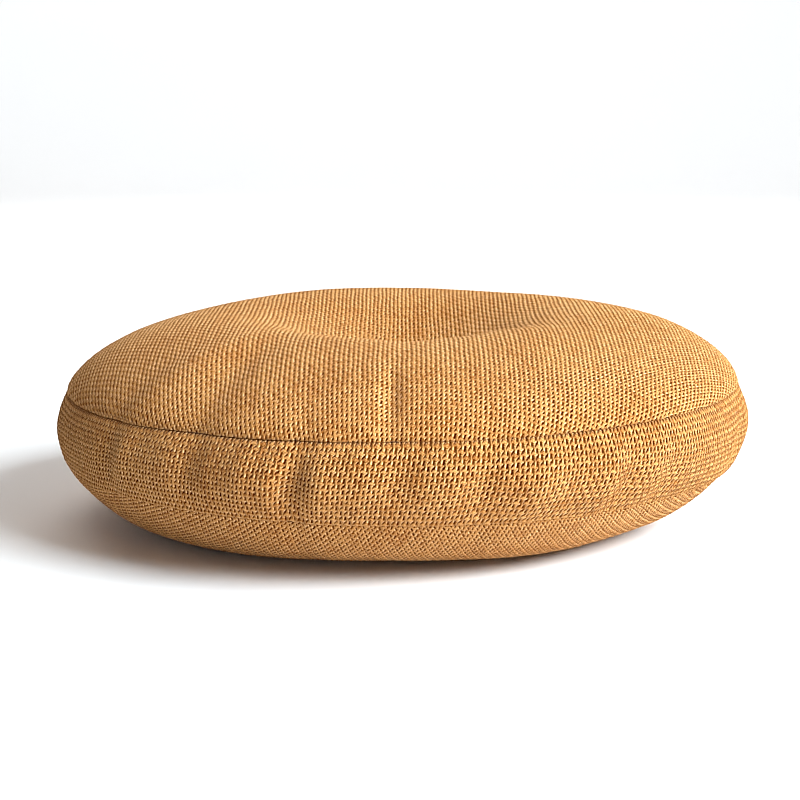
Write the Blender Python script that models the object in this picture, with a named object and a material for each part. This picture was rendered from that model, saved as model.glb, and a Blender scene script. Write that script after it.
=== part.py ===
"""A low round meditation cushion with a boxed side, in metres, +Z up.

The cushion lies flat on its bottom panel. X runs to the right, Y away from the viewer, and the
origin is on the surface under the middle. A bearing of 0 is the near side and 90 the right side.

One filled body carries the side band between its two seams. A round of cloth covers it above and
another below, each let into the body at its seam.
"""

from math import radians

import bmesh
import bpy
import numpy as np

# --- driving sizes -------------------------------------------------------------------------------

TOP_SEAM_RADIUS = 0.202
BOTTOM_SEAM_RADIUS = 0.197
TOP_SEAM_HEIGHT = 0.0826
BOTTOM_SEAM_HEIGHT = 0.0377

TOP_SHIFT = -0.00024  # how far each seam's ring has slipped to the right of the middle
BOTTOM_SHIFT = -0.00724
SETBACK = -0.00028  # and both of them away from the viewer
TOP_TILT = 0.0027  # how much higher each seam runs at the right than at the middle
BOTTOM_TILT = -0.0021

BAND_BULGE = 0.0092  # how far the side swells out between its seams
BAND_BULGE_LEAN = 0.0040  # and how much more of it lies at the right

CROWN_RISE = 0.0547  # the top panel's rise over its seam, before the dimple
CROWN_ROUNDNESS = (2.32, 0.655)  # powers of the crown's section
DIMPLE_DEPTH = 0.0460
DIMPLE_RADIUS = 0.0660
DIMPLE_PLACE = (0.0030, -0.0140)

FOOT_REACH = 0.572  # the share of the bottom panel's radius that lies flat
BELLY_ROUNDNESS = (2.80, 1.0)  # powers of the section from the foot up to the seam

TOP_SEAM_DRAW = 0.0004  # how far the stitching draws each seam in
BOTTOM_SEAM_DRAW = 0.0002
SEAM_DRAW_REACH = 0.0042
TOP_SEAM_SLANT = 1.12  # how much further a seam moves, as it moves level and not square to the cloth
BOTTOM_SEAM_SLANT = 1.35

CLOTH = 0.0020  # thickness of a panel
GAP = 0.0003  # between two pieces

# --- how finely the solids are cut ---------------------------------------------------------------

SEGMENTS = 120
TOP_RINGS = (1.0, 0.985, 0.955, 0.91, 0.85, 0.77, 0.68, 0.57, 0.45, 0.33, 0.21, 0.10)
BOTTOM_RINGS = (1.0, 0.98, 0.945, 0.89, 0.82, 0.74, 0.66, FOOT_REACH)
BAND_RINGS = (0.0, 0.09, 0.25, 0.42, 0.58, 0.75, 0.91, 1.0)
CREASE_ANGLE = 40.0  # degrees between faces past which an edge stays sharp

# --- unevenness ----------------------------------------------------------------------------------

# Soft troughs (negative) and swells (positive) in the filled cloth. Level counts up the section:
# 0 is the bottom seam, 1 the top seam, 2 the middle of the top and -1 the middle of the bottom.
SWELL_COLUMNS = ("bearing", "half_width", "level", "half_level", "depth")
SWELLS = (
    # the side's folds, from left to right across the near side
    (-50.4, 2.5, 0.55, 0.40, -0.0034),
    (-46.5, 2.4, 0.55, 0.40, 0.0018),
    (-32.4, 2.6, 0.58, 0.38, -0.0034),
    (-22.8, 2.4, 0.55, 0.38, 0.0024),
    (-18.6, 2.1, 0.48, 0.40, 0.0018),
    (-15.0, 2.1, 0.45, 0.42, -0.0055),
    (-10.8, 2.4, 0.45, 0.40, 0.0018),
    (0.6, 3.1, 0.62, 0.42, -0.0036),
    (12.6, 3.0, 0.50, 0.38, -0.0034),
    (21.0, 2.4, 0.45, 0.34, 0.0022),
    (33.0, 2.6, 0.45, 0.36, 0.0018),
    (36.6, 2.4, 0.40, 0.38, -0.0036),
    (45.9, 2.6, 0.35, 0.36, -0.0026),
    # the far side, which is finished in the same way
    (69.9, 3.0, 0.50, 0.36, -0.0026),
    (86.1, 2.6, 0.45, 0.38, -0.0034),
    (90.3, 2.4, 0.50, 0.36, 0.0018),
    (108.0, 3.2, 0.60, 0.36, -0.0024),
    (126.9, 2.4, 0.50, 0.38, -0.0044),
    (130.8, 2.4, 0.50, 0.36, 0.0016),
    (148.8, 3.0, 0.55, 0.36, -0.0028),
    (171.0, 2.6, 0.40, 0.38, -0.0038),
    (175.2, 2.4, 0.45, 0.36, 0.0018),
    (194.1, 3.2, 0.60, 0.36, -0.0026),
    (215.1, 2.6, 0.50, 0.38, -0.0036),
    (237.9, 3.0, 0.45, 0.36, -0.0028),
    (261.9, 2.8, 0.55, 0.36, -0.0026),
    (287.1, 3.0, 0.50, 0.36, -0.0026),
    # a short crease above the top seam
    (-1.8, 1.8, 1.12, 0.11, -0.0040),
    # broad fullness and slackness of the two rounds
    (-44.0, 5.0, 1.22, 0.20, 0.0022),
    (-34.0, 5.0, 1.20, 0.22, -0.0030),
    (-102.0, 22.0, 1.12, 0.14, 0.0015),
    (98.0, 26.0, 1.13, 0.22, 0.0038),
    (-150.0, 22.0, 1.45, 0.25, 0.0010),
    (150.0, 20.0, 1.45, 0.25, -0.0012),
    (2.0, 9.0, 1.50, 0.18, -0.0013),
    (36.0, 12.0, 1.50, 0.20, 0.0018),
    (-60.0, 11.0, -0.12, 0.14, 0.0008),
    (0.0, 30.0, -0.25, 0.16, -0.0036),
    (54.0, 11.0, -0.18, 0.14, -0.0008),
    (74.0, 16.0, 0.08, 0.25, 0.0053),
)

# --- colours -------------------------------------------------------------------------------------

PANEL_COLOUR = (0.610, 0.330, 0.110)
BODY_COLOUR = (0.560, 0.290, 0.095)
CLOTH_ROUGHNESS = 0.92


def swell(bearing, level):
    """How far the cloth stands out at this bearing (degrees) and level, from the table above."""
    total = np.zeros(np.broadcast(bearing, level).shape)
    for row in SWELLS:
        item = dict(zip(SWELL_COLUMNS, row))
        turn = (bearing - item["bearing"] + 180.0) % 360.0 - 180.0
        across = np.exp(-((turn / item["half_width"]) ** 2))
        along = np.exp(-(((level - item["level"]) / item["half_level"]) ** 2))
        total = total + item["depth"] * across * along
    return total


def at_top(level):
    """1 at the top seam's level and 0 at the bottom seam's."""
    return np.clip(level, 0.0, 1.0)


def seam_slant(level):
    """How much further the seam at this level moves than the cloth beside it."""
    return BOTTOM_SEAM_SLANT + (TOP_SEAM_SLANT - BOTTOM_SEAM_SLANT) * at_top(level)


def seam_draw(level, distance):
    """How far the cloth is drawn in at this level and distance from its nearest seam."""
    draw = BOTTOM_SEAM_DRAW + (TOP_SEAM_DRAW - BOTTOM_SEAM_DRAW) * at_top(level)
    return draw * np.exp(-((distance / SEAM_DRAW_REACH) ** 2))


def seam_point(bearing, radius, shift, height, tilt, reach):
    """A point at this share of the way from the middle out to a seam, with the seam's lean."""
    angle = np.radians(bearing)
    across = shift + radius * reach * np.sin(angle)
    away = SETBACK - radius * reach * np.cos(angle)
    up = height + tilt * reach * np.sin(angle)
    return across, away, up


def top_surface(reach, bearing):
    """The top panel's face: reach 1 is the seam and 0 the middle."""
    power, flatness = CROWN_ROUNDNESS
    x, y, z = seam_point(bearing, TOP_SEAM_RADIUS, TOP_SHIFT, TOP_SEAM_HEIGHT, TOP_TILT, reach)
    z = z + CROWN_RISE * (1.0 - reach**power) ** flatness
    from_dimple = np.hypot(x - DIMPLE_PLACE[0], y - DIMPLE_PLACE[1])
    z = z - DIMPLE_DEPTH * np.exp(-((from_dimple / DIMPLE_RADIUS) ** 2))
    return np.stack([x, y, z], -1)


def bottom_surface(reach, bearing):
    """The bottom panel's face: it rises from the level foot up to its seam."""
    power, flatness = BELLY_ROUNDNESS
    x, y, _ = seam_point(
        bearing, BOTTOM_SEAM_RADIUS, BOTTOM_SHIFT, BOTTOM_SEAM_HEIGHT, BOTTOM_TILT, reach
    )
    seam_height = bottom_seam(bearing)[2]
    from_foot = np.maximum(reach - FOOT_REACH, 0.0) / (1.0 - FOOT_REACH)
    z = seam_height * (1.0 - (1.0 - from_foot**power) ** flatness)
    return np.stack([x, y, z], -1)


def band_surface(rise, bearing):
    """The side between the seams: rise 0 is the bottom seam and 1 the top one."""
    angle = np.radians(bearing)
    low = np.stack(bottom_seam(bearing), -1)
    high = np.stack(top_seam(bearing), -1)
    bulge = (BAND_BULGE + BAND_BULGE_LEAN * np.sin(angle)) * np.sin(np.pi * rise)
    return low + (high - low) * rise[..., None] + outward(bearing) * bulge[..., None]


def top_seam(bearing):
    """The ring that the top seam follows."""
    return seam_point(bearing, TOP_SEAM_RADIUS, TOP_SHIFT, TOP_SEAM_HEIGHT, TOP_TILT, 1.0)


def bottom_seam(bearing):
    """The ring that the bottom seam follows."""
    return seam_point(
        bearing, BOTTOM_SEAM_RADIUS, BOTTOM_SHIFT, BOTTOM_SEAM_HEIGHT, BOTTOM_TILT, 1.0
    )


def ring_normals(points):
    """Outward normals of a grid of rings, each ring running round and the rings going upward."""
    along = np.gradient(points, axis=0)
    around = np.roll(points, -1, axis=1) - np.roll(points, 1, axis=1)
    normals = np.cross(around, along)
    return normals / np.linalg.norm(normals, axis=-1, keepdims=True)


def ring_distance(points):
    """How far each ring lies from the first one, along the cloth."""
    steps = np.linalg.norm(np.diff(points, axis=0), axis=-1)
    return np.vstack([np.zeros(points.shape[1]), np.cumsum(steps, axis=0)])


def outward(bearing):
    """The level direction straight out from the middle."""
    angle = np.radians(bearing)
    return np.stack([np.sin(angle), -np.cos(angle), np.zeros_like(angle)], -1)


def dressed(points, normals, bearing, level, distance):
    """Adds the swells and the drawn-in seams to a grid of rings.

    A seam's own ring, at distance 0, moves level, so that both of its cloths keep one line.
    """
    at_seam = (distance == 0.0)[..., None]
    sideways = outward(bearing) * seam_slant(level)[..., None]
    direction = np.where(at_seam, sideways, normals)
    offset = swell(bearing, level) - seam_draw(level, distance)
    return points + direction * offset[..., None]


def bearings():
    """The bearing of each segment, going round to the right."""
    return np.arange(SEGMENTS) * 360.0 / SEGMENTS


def top_rings():
    """Rings of the top panel from its seam inward, and their normals."""
    reach, bearing = np.meshgrid(TOP_RINGS, bearings(), indexing="ij")
    points = top_surface(reach, bearing)
    normals = ring_normals(points)
    shaped = dressed(points, normals, bearing, 2.0 - reach, ring_distance(points))
    return shaped, ring_normals(shaped)


def bottom_rings():
    """Rings of the bottom panel from its seam inward, and their normals, with the foot level."""
    reach, bearing = np.meshgrid(BOTTOM_RINGS, bearings(), indexing="ij")
    points = bottom_surface(reach, bearing)
    normals = -ring_normals(points)
    shaped = dressed(points, normals, bearing, reach - 1.0, ring_distance(points))
    shaped[-1, :, 2] = 0.0
    normals = -ring_normals(shaped)
    normals[-1] = (0.0, 0.0, -1.0)
    return shaped, normals


def band_rings():
    """Rings of the side from the bottom seam up to the top one."""
    rise, bearing = np.meshgrid(BAND_RINGS, bearings(), indexing="ij")
    points = band_surface(rise, bearing)
    from_low = ring_distance(points)
    from_seam = np.minimum(from_low, from_low[-1] - from_low)
    return dressed(points, ring_normals(points), bearing, rise, from_seam)


def top_middle(depth):
    """The middle of the top panel, this far below its face."""
    x, y, z = top_surface(np.array(0.0), np.array(0.0))
    return x, y, z - depth


def add_ring(mesh, points):
    """Adds one ring of vertices."""
    return [mesh.verts.new(point) for point in points]


def join_rings(mesh, first, second):
    """Joins two rings with a strip of triangles whose cuts alternate."""
    count = len(first)
    for i in range(count):
        k = (i + 1) % count
        a, b, c, d = first[i], first[k], second[k], second[i]
        if i % 2:
            mesh.faces.new((a, b, c))
            mesh.faces.new((a, c, d))
        else:
            mesh.faces.new((a, b, d))
            mesh.faces.new((b, c, d))


def join_all(mesh, rings):
    """Joins each ring to the next."""
    for first, second in zip(rings, rings[1:]):
        join_rings(mesh, first, second)


def close_with_point(mesh, ring, point):
    """Closes a ring with a fan to one vertex."""
    tip = mesh.verts.new(point)
    for i, vertex in enumerate(ring):
        mesh.faces.new((vertex, ring[(i + 1) % len(ring)], tip))


def cloth_material(name, colour):
    """A plain woven cloth."""
    material = bpy.data.materials.new(name)
    material.use_nodes = True
    shader = material.node_tree.nodes["Principled BSDF"]
    shader.inputs["Base Color"].default_value = (*colour, 1.0)
    shader.inputs["Roughness"].default_value = CLOTH_ROUGHNESS
    return material


def add_object(name, mesh, material):
    """Turns a finished bmesh into an object with smooth faces and outward normals."""
    bmesh.ops.recalc_face_normals(mesh, faces=mesh.faces)
    data = bpy.data.meshes.new(name)
    mesh.to_mesh(data)
    mesh.free()
    data.shade_smooth()
    data.set_sharp_from_angle(angle=radians(CREASE_ANGLE))
    data.materials.append(material)
    piece = bpy.data.objects.new(name, data)
    bpy.context.scene.collection.objects.link(piece)
    return piece


def seated(rings, normals, depth, clearance):
    """Rings this deep under the cloth's face, with the seam's own ring moved clear along Z."""
    moved = rings - normals * depth
    moved[0, :, 2] = rings[0, :, 2] + clearance
    return moved


def build_top_panel(material):
    """The upper round of cloth, as thick as CLOTH, from its seam to its middle."""
    rings, normals = top_rings()
    face = rings.copy()
    face[0, :, 2] += GAP / 2
    mesh = bmesh.new()
    outer = [add_ring(mesh, ring) for ring in face]
    inner = [add_ring(mesh, ring) for ring in seated(rings, normals, CLOTH, GAP / 2)]
    join_all(mesh, outer)
    close_with_point(mesh, outer[-1], top_middle(0.0))
    join_all(mesh, inner)
    close_with_point(mesh, inner[-1], top_middle(CLOTH))
    join_rings(mesh, outer[0], inner[0])
    return add_object("top_panel", mesh, material)


def build_bottom_panel(material):
    """The lower round of cloth, from its seam to its flat foot."""
    rings, normals = bottom_rings()
    face = rings.copy()
    face[0, :, 2] -= GAP / 2
    mesh = bmesh.new()
    outer = [add_ring(mesh, ring) for ring in face]
    inner = [add_ring(mesh, ring) for ring in seated(rings, normals, CLOTH, -GAP / 2)]
    join_all(mesh, outer)
    mesh.faces.new(outer[-1])
    join_all(mesh, inner)
    mesh.faces.new(inner[-1])
    join_rings(mesh, outer[0], inner[0])
    return add_object("bottom_panel", mesh, material)


def build_body(material):
    """The filled body: its side is the band, and its ends lie under the two panels."""
    under_top, top_normals = top_rings()
    over_bottom, bottom_normals = bottom_rings()
    band = band_rings()
    band[0, :, 2] += GAP / 2
    band[-1, :, 2] -= GAP / 2
    under_top = seated(under_top, top_normals, CLOTH + GAP, -GAP / 2)
    over_bottom = seated(over_bottom, bottom_normals, CLOTH + GAP, GAP / 2)
    mesh = bmesh.new()
    lower = [add_ring(mesh, ring) for ring in over_bottom[::-1]]
    side = [add_ring(mesh, ring) for ring in band]
    upper = [add_ring(mesh, ring) for ring in under_top]
    join_all(mesh, lower + side + upper)
    mesh.faces.new(lower[0])
    close_with_point(mesh, upper[-1], top_middle(CLOTH + GAP))
    return add_object("cushion_body", mesh, material)


def clear_scene():
    """Removes what a new file holds."""
    for item in list(bpy.data.objects):
        bpy.data.objects.remove(item)


def main():
    clear_scene()
    build_body(cloth_material("band_cloth", BODY_COLOUR))
    panel_cloth = cloth_material("panel_cloth", PANEL_COLOUR)
    build_top_panel(panel_cloth)
    build_bottom_panel(panel_cloth)


main()
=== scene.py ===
"""The looks of a low round meditation cushion of coarse camel cloth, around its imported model.

Three cloths cover the cushion: a round above, a band between the two seams and a round below. Each
is a mesh of its own plain weave, laid yarn by yarn over the filled form, with the seams' own thread
in the grooves between them. Metres throughout; a bearing of 0 is the near side and 90 the right.
"""

import math

import bpy
import numpy as np
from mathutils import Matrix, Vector


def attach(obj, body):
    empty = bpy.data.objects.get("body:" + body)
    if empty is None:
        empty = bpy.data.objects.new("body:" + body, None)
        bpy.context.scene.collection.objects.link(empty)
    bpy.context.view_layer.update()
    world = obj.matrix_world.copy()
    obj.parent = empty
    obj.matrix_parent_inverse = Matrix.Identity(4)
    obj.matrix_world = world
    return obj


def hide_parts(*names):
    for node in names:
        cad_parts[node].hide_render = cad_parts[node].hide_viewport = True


# --- the form, in the sizes that the solids were made from -------------------

TOP_SEAM_RADIUS = 0.202
BOTTOM_SEAM_RADIUS = 0.197
TOP_SEAM_HEIGHT = 0.0826
BOTTOM_SEAM_HEIGHT = 0.0377
TOP_SHIFT = -0.00024
BOTTOM_SHIFT = -0.00724
SETBACK = -0.00028
TOP_TILT = 0.0027
BOTTOM_TILT = -0.0021
BAND_BULGE = 0.0092
BAND_BULGE_LEAN = 0.0040  # how much more it bulges at the right, and less at the left
CROWN_RISE = 0.0547
CROWN_ROUNDNESS = (2.32, 0.655)
DIMPLE_DEPTH = 0.0460
DIMPLE_RADIUS = 0.0660
DIMPLE_PLACE = (0.0030, -0.0140)
FOOT_REACH = 0.572
BELLY_ROUNDNESS = (2.80, 1.0)
TOP_SEAM_DRAW = 0.0004
BOTTOM_SEAM_DRAW = 0.0002
SEAM_DRAW_REACH = 0.0042
TOP_SEAM_SLANT = 1.12  # how much further a seam moves, as it moves level and not square to the cloth
BOTTOM_SEAM_SLANT = 1.35
TOP_RING = (TOP_SEAM_RADIUS, TOP_SHIFT, TOP_SEAM_HEIGHT, TOP_TILT)  # what each seam follows
BOTTOM_RING = (BOTTOM_SEAM_RADIUS, BOTTOM_SHIFT, BOTTOM_SEAM_HEIGHT, BOTTOM_TILT)

# Soft troughs (negative) and swells (positive). Level counts up the section: 0 is the bottom
# seam, 1 the top seam, 2 the middle of the top and -1 the middle of the bottom.
SWELL_COLUMNS = ("bearing", "half_width", "level", "half_level", "depth")
SWELLS = (
    # the side's folds, from left to right across the near side
    (-50.4, 2.5, 0.55, 0.40, -0.0034),
    (-46.5, 2.4, 0.55, 0.40, 0.0018),
    (-32.4, 2.6, 0.58, 0.38, -0.0034),
    (-22.8, 2.4, 0.55, 0.38, 0.0024),
    (-18.6, 2.1, 0.48, 0.40, 0.0018),
    (-15.0, 2.1, 0.45, 0.42, -0.0055),
    (-10.8, 2.4, 0.45, 0.40, 0.0018),
    (0.6, 3.1, 0.62, 0.42, -0.0036),
    (12.6, 3.0, 0.50, 0.38, -0.0034),
    (21.0, 2.4, 0.45, 0.34, 0.0022),
    (33.0, 2.6, 0.45, 0.36, 0.0018),
    (36.6, 2.4, 0.40, 0.38, -0.0036),
    (45.9, 2.6, 0.35, 0.36, -0.0026),
    # the far side, which is finished in the same way
    (69.9, 3.0, 0.50, 0.36, -0.0026),
    (86.1, 2.6, 0.45, 0.38, -0.0034),
    (90.3, 2.4, 0.50, 0.36, 0.0018),
    (108.0, 3.2, 0.60, 0.36, -0.0024),
    (126.9, 2.4, 0.50, 0.38, -0.0044),
    (130.8, 2.4, 0.50, 0.36, 0.0016),
    (148.8, 3.0, 0.55, 0.36, -0.0028),
    (171.0, 2.6, 0.40, 0.38, -0.0038),
    (175.2, 2.4, 0.45, 0.36, 0.0018),
    (194.1, 3.2, 0.60, 0.36, -0.0026),
    (215.1, 2.6, 0.50, 0.38, -0.0036),
    (237.9, 3.0, 0.45, 0.36, -0.0028),
    (261.9, 2.8, 0.55, 0.36, -0.0026),
    (287.1, 3.0, 0.50, 0.36, -0.0026),
    # a short crease above the top seam
    (-1.8, 1.8, 1.12, 0.11, -0.0040),
    # broad fullness and slackness of the two rounds, and of the band's foot at the right
    (-44.0, 5.0, 1.22, 0.20, 0.0022),
    (-34.0, 5.0, 1.20, 0.22, -0.0030),
    (-102.0, 22.0, 1.12, 0.14, 0.0015),
    (98.0, 26.0, 1.13, 0.22, 0.0038),
    (-150.0, 22.0, 1.45, 0.25, 0.0010),
    (150.0, 20.0, 1.45, 0.25, -0.0012),
    (2.0, 9.0, 1.50, 0.18, -0.0013),
    (36.0, 12.0, 1.50, 0.20, 0.0018),
    (-60.0, 11.0, -0.12, 0.14, 0.0008),
    (0.0, 30.0, -0.25, 0.16, -0.0036),
    (54.0, 11.0, -0.18, 0.14, -0.0008),
    (74.0, 16.0, 0.08, 0.25, 0.0053),
)

# --- the cloth ---------------------------------------------------------------

WARP_PITCH = 0.00272  # between the yarns of a round that run front to back
WEFT_PITCH = 0.00338  # and between those that cross them
BAND_WARPS = 504  # upright yarns round the band, an even number so that the weave closes
YARN_CRIMP = 0.00024  # how far a yarn rises and falls as it passes over and under
YARN_CROWN = 0.00034  # how high a yarn's own round back is
YARN_FILL = 0.58  # a yarn's half width, as a share of the pitch
YARN_SLUB = 0.30  # uneven thickness along a yarn, as a share of its relief
HOLE_DEPTH = 0.00018  # how much deeper the cloth sinks between four yarns
HOLE_POWER = 3  # how closely that keeps to the middle between them
YARN_SQUEEZE = 0.19  # how much narrower a crossing is across the yarn on top, in pitches
YARN_WANDER = 0.00015  # how far the yarns stray from straight lines
WANDER_WAVES = 7
WANDER_MOST = 84  # the most of those waves in the band's length
TOP_GRAIN = 0.0  # degrees by which each round's yarns are turned from the front
BOTTOM_GRAIN = 27.0
CLOTH_DEPTH = 0.0016  # from the face to the hidden back of each cloth
ROUND_SAMPLES = 2  # mesh vertices to a yarn's pitch in the two rounds
BAND_SAMPLES = 3  # and in the band
BAND_PHASE = 0.3  # where in the weave the band is cut
RIM_ROOM = 0.2  # yarns that end nearer a round's rim than this many pitches end on it
SLUB_WAVES = (12.0, 40.0)  # thick and thin stretches of a yarn in the band's length
SLUB_SWING = 0.6  # their part in a yarn's unevenness, beside its own thickness
SLUB_COUNT_STREAM = 0.5  # added to a yarn's number for a second and a third random fraction
SLUB_THICKNESS_STREAM = 0.25
HASH_PACE = 12.9898  # large uneven factors that scatter those fractions
HASH_SPREAD = 43758.5453
SEED = 7

# --- the seams ---------------------------------------------------------------

PUCKER = 0.00050  # the gathers that the stitching leaves
PUCKER_REACH = 0.0140
PUCKER_START = 0.0030
PUCKER_WAVES = (
    # share, gathers round the seam and their phase, and the size, waves and phase of their sway
    (0.55, 37.0, 0.4, 1.3, 5.0, 0.0),
    (0.45, 61.0, 0.0, 1.9, 3.0, 1.0),
)
PATCHES = (0.40, 4.0, 2.0, 0.0, 0.0, 0.0)  # how they come and go, in the same order
SEAM_ROLL = 0.0004  # how far a cloth's edge turns in at its seam
SEAM_ROLL_REACH = 0.0010
SEAM_LEAN_REACH = 0.0040  # within this of a seam the cloth's relief stands out level
SEAM_GAPE = 0.00080  # the shadow line between two cloths at a seam
SEAM_TIGHT = 0.12  # the least share of that, where the cloths meet closely
SEAM_MIDDLING = 0.65  # and its share at the near and far sides
TIGHT_BEARING = 14.0  # where they meet most closely
TIGHT_HALF_WIDTH = 11.0
SPOTS = (0.14, 9.0, 0.0, 2.0, 4.0, 0.0)  # how unevenly a seam opens, in the same order
THREAD_RADIUS = 0.00050
THREAD_ROOM = 0.0001  # between the thread and the backs of the cloths
THREAD_NIP = 0.35  # how much thinner the thread is where a stitch holds it
THREAD_SIDES = 5
THREAD_ROWS = 12  # its length is folded into so many rows of its map
THREAD_ROW_FILL = 0.9
STITCHES = 372
STITCH_SAMPLES = 4

# --- how finely the form is measured -----------------------------------------

NEAR_STEP = 0.0004  # metres along the cloth, for slopes
MERIDIAN_POINTS = 401  # from a round's middle to its seam
MERIDIAN_TURN = 10.0  # degrees from one such line to the next
SECTION_POINTS = 101  # up the band
SECTION_TURN = 5.0

# --- the hidden back of each cloth, and the maps that colours can be baked to ---

BACK_SHARES = (1.0, 0.96, 0.85, 0.62, 0.32, 0.06)  # rings of a round's back, as shares of its rim
BACK_RISES = (0.0, 0.33, 0.67, 1.0)  # and of the band's
DISC_HALF = 0.485  # half width of a round's face in its map
BACK_MIDDLE = 0.070  # its hidden back is a small disc in the map's corner
BACK_HALF = 0.052
BACK_RIM = 1.12  # the wall at its rim, as a share of that disc
BAND_ROWS = 5  # the band is folded into rows in its map
ROW_WIDTH = 0.86
ROW_HEIGHT = 0.19
ROW_PITCH = 0.198
ROW_MARGIN = 0.006
BACK_ROW_LEFT = 0.90  # the band's back, squeezed beside the rows
BACK_ROW_WIDTH = 0.08

# --- colours, in linear light ------------------------------------------------

YARN_DARK = (0.280, 0.080, 0.010, 1.0)
YARN_MID = (0.610, 0.284, 0.084, 1.0)
YARN_LIGHT = (0.920, 0.590, 0.300, 1.0)
# painted shade in the slits between the yarns
SLIT_SHADE = (0.060, 0.003, 0.0, 1.0)
# painted shade on the yarns' flanks and on the sunken cloth beside the slits
FLANK_SHADE_COLOUR = (0.240, 0.050, 0.001, 1.0)
WELL_SHADE_SHARE = 0.55  # painted shade: how far the sunken cloth beside the slits takes that colour
# the seam thread's colour, made dark as painted shade deep in the seam, and painted shade in the
# grooves of its twist
THREAD_AND_SEAM_SHADE = (0.100, 0.036, 0.010, 1.0)
THREAD_TWIST_SHADE = (0.045, 0.014, 0.004, 1.0)
THREAD_ROUGHNESS = 0.7
THREAD_TWIST = 6.0  # radians to a stitch
THREAD_BUMP = 0.0001
ROUGHNESS_SPAN = (0.82, 0.94)
CLOTH_SHEEN = 0.45
CLOTH_SHEEN_TINT = (1.0, 0.62, 0.32, 1.0)
CLOTH_SHEEN_ROUGHNESS = 0.30
CLOTH_GLOSS = 0.04
FLOOR_COLOUR = (0.95, 0.955, 0.96, 1.0)
FLOOR_DARKER = (0.89, 0.895, 0.90, 1.0)
FLOOR_MOTTLE = 0.25
FLOOR_GRAIN = 3.0
FLOOR_ROUGHNESS = 0.75

# Slits between the yarns, in pitches. All lean alike in the flat weave, and its squeezed crossings
# turn every other one upright and lay the rest down.
SLIT_LEAN = math.radians(-30.0)
SLIT_HALF = (0.165, 0.50)  # half width and half length
SLIT_SOFTNESS = 0.72
WELL_EDGES = (0.6, 1.6)  # where the cloth beside a slit begins and ends to sink, in its half sizes
LIP_OFFSET = 0.28  # how far beside the slits their painted highlight lies
LIP_HALF = (0.12, 0.48)
LIP_SOFTNESS = 0.25
# painted highlight on the cloth beside the slits
LIP_HIGHLIGHT = 0.55
SLIT_LEAST = 0.78  # their sizes, as shares of the above
SLIT_SPREAD = 0.44
SHADOW_LEAST = 0.55  # how far they take their painted shade
SHADOW_SPREAD = 0.42
BASE_TONE = 0.31
CREST_HIGHLIGHT = 0.15  # painted highlight: how much lighter a yarn is where it lies on top
CREST_HALF = (0.26, 0.50)  # half width and half height of that crest, in pitches
CREST_SOFTNESS = 0.3
FLANK_START = 0.28  # how far from a yarn's middle the painted shade on its flank begins, in pitches
FLANK_SHADE = 0.30
FIBRES_ACROSS = 5.0  # how much sooner the fibres change across a yarn than along it
FIBRE_SCALE = 2.0
FIBRE_RANGE = (0.2, 0.8)  # the part of their noise that sets the roughness
PATCH_SCALE = 22.0
NOISE_DETAIL = 2.0
TONE_WEIGHTS = (0.12, 0.26, 0.60, 0.25)  # of yarns, crossings, fibres and broad patches
MIDDLE_TONE = 0.5  # the tone of the middle colour, between 0 and 1
YARN_STREAM = 31.0  # sets one set of random numbers apart from another
TWIST_ACROSS = 14.0  # radians to a pitch
TWIST_ALONG = 11.0
PANEL_ROUNDNESS = 0.30  # how round the yarns' backs look, beside their mesh
BAND_ROUNDNESS = 1.0
BUMP_TWIST = 0.14
BUMP_FIBRE = 0.25
BUMP_WELL = 0.9
BUMP_DISTANCE = 0.0008

# --- camera, floor and light -------------------------------------------------

VIEW_TARGET = (0.0, 0.0, 0.0520)
VIEW_DISTANCE = 1.1673
VIEW_ELEVATION = math.radians(10.675)
FOCAL_PIXELS = 1897.9
CENTRE_PIXELS = (401.6, 428.7)  # where the camera's axis meets the photograph
IMAGE_PIXELS = 800.0
SENSOR_MM = 36.0
SHARPENING = 0.085  # how much crisper the picture's light and dark is made

FLOOR_RADIUS = 3.2
COVE_RADIUS = 2.0
COVE_STEPS = 14
FLOOR_SEGMENTS = 96
FLOOR_SHARES = (0.1, 0.25, 0.5, 1.0)

LIGHTS = (
    # name, place, aim, size, power, colour
    ("key", (1.60, -0.94, 1.28), (0.0, 0.0, 0.05), (1.9, 1.1), 136.0, (0.92, 1.03, 1.10)),
    ("top", (-0.60, 1.00, 2.00), (0.0, 0.0, 0.05), (2.0, 2.0), 17.0, (1.0, 0.91, 0.83)),
    ("front", (1.17, -1.81, 0.42), (0.0, 0.0, 0.05), (0.8, 0.5), 6.0, (1.0, 0.72, 0.48)),
    ("wall", (0.0, 1.80, 3.00), (0.0, 5.00, 0.60), (2.4, 2.4), 90.0, (1.0, 1.0, 1.0)),
)
SURROUND_COLOUR = (1.0, 0.89, 0.82, 1.0)
SURROUND_STRENGTH = 0.125

# The Mix node's first input, second input and output. They go by number, because the sockets for
# colours and for vectors have the same names.
COLOUR_SOCKETS = (6, 7, 2)
VECTOR_SOCKETS = (4, 5, 1)


# --- the filled form ---------------------------------------------------------


def swell(bearing, level):
    """How far the cloth stands out at this bearing (degrees) and level, from the table above."""
    total = np.zeros(np.broadcast(bearing, level).shape)
    for row in SWELLS:
        item = dict(zip(SWELL_COLUMNS, row))
        turn = (bearing - item["bearing"] + 180.0) % 360.0 - 180.0
        across = np.exp(-((turn / item["half_width"]) ** 2))
        along = np.exp(-(((level - item["level"]) / item["half_level"]) ** 2))
        total = total + item["depth"] * across * along
    return total


def ring_point(bearing, ring, reach):
    """A point at this share of the way from the middle out to a seam, with the seam's lean."""
    radius, shift, height, tilt = ring
    angle = np.radians(bearing)
    across = shift + radius * reach * np.sin(angle)
    away = SETBACK - radius * reach * np.cos(angle)
    up = height + tilt * reach * np.sin(angle)
    return across, away, up


def seam(bearing, ring):
    """The points that a seam follows."""
    return np.stack(ring_point(bearing, ring, 1.0), -1)


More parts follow.
